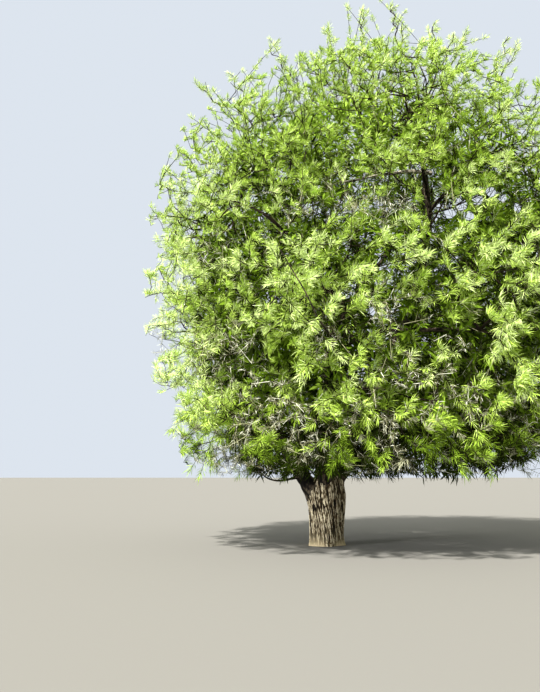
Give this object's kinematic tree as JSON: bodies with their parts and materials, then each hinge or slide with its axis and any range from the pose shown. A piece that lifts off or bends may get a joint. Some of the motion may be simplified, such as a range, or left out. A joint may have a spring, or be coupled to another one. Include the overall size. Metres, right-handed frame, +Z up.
{
  "type": "prickly ash tree",
  "caption": "Broad two-storeyed prickly ash tree on a short thick furrowed trunk, with bowed limbs, fine drooping sprays of narrow leaves and a level browse line.",
  "frame": {"origin": "middle of the flat cut under the trunk, at ground level", "axes": "+Z up, +X to the right and +Y away from somebody who looks at the tree's front"},
  "size_m": [10.0605, 10.2336, 11.9108],
  "materials": {
    "trunk_bark": "deeply furrowed grey-brown bark",
    "bough_bark": "rough dark brown bark",
    "foliage": "fine leaf sprays on twigs"
  },
  "bodies": {
    "root": {"back_limb": "bough_bark", "crown_top_foliage": "foliage", "fork_sprout_foliage": "foliage", "front_limb": "bough_bark", "hem_0_bough": "bough_bark", "hem_0_foliage": "foliage", "hem_1_bough": "bough_bark", "hem_1_foliage": "foliage", "hem_2_bough": "bough_bark", "hem_2_foliage": "foliage", "hem_3_bough": "bough_bark", "hem_3_foliage": "foliage", "hem_4_bough": "bough_bark", "hem_4_foliage": "foliage", "hem_5_bough": "bough_bark", "hem_5_foliage": "foliage", "leader": "bough_bark", "left_limb": "bough_bark", "middle_0_foliage": "foliage", "middle_1_bough": "bough_bark", "middle_1_foliage": "foliage", "middle_2_foliage": "foliage", "middle_3_bough": "bough_bark", "middle_3_foliage": "foliage", "middle_4_foliage": "foliage", "middle_5_bough": "bough_bark", "middle_5_foliage": "foliage", "middle_6_bough": "bough_bark", "middle_6_foliage": "foliage", "middle_7_bough": "bough_bark", "middle_7_foliage": "foliage", "right_limb": "bough_bark", "skirt_0_bough": "bough_bark", "skirt_0_foliage": "foliage", "skirt_1_bough": "bough_bark", "skirt_1_foliage": "foliage", "skirt_2_bough": "bough_bark", "skirt_2_foliage": "foliage", "skirt_3_bough": "bough_bark", "skirt_3_foliage": "foliage", "skirt_4_bough": "bough_bark", "skirt_4_foliage": "foliage", "skirt_5_foliage": "foliage", "skirt_6_bough": "bough_bark", "skirt_6_foliage": "foliage", "skirt_7_bough": "bough_bark", "skirt_7_foliage": "foliage", "trunk": "trunk_bark", "upper_0_bough": "bough_bark", "upper_0_foliage": "foliage", "upper_1_bough": "bough_bark", "upper_1_foliage": "foliage", "upper_2_bough": "bough_bark", "upper_2_foliage": "foliage", "upper_3_bough": "bough_bark", "upper_3_foliage": "foliage", "upper_4_bough": "bough_bark", "upper_4_foliage": "foliage"}
  },
  "joints": []
}
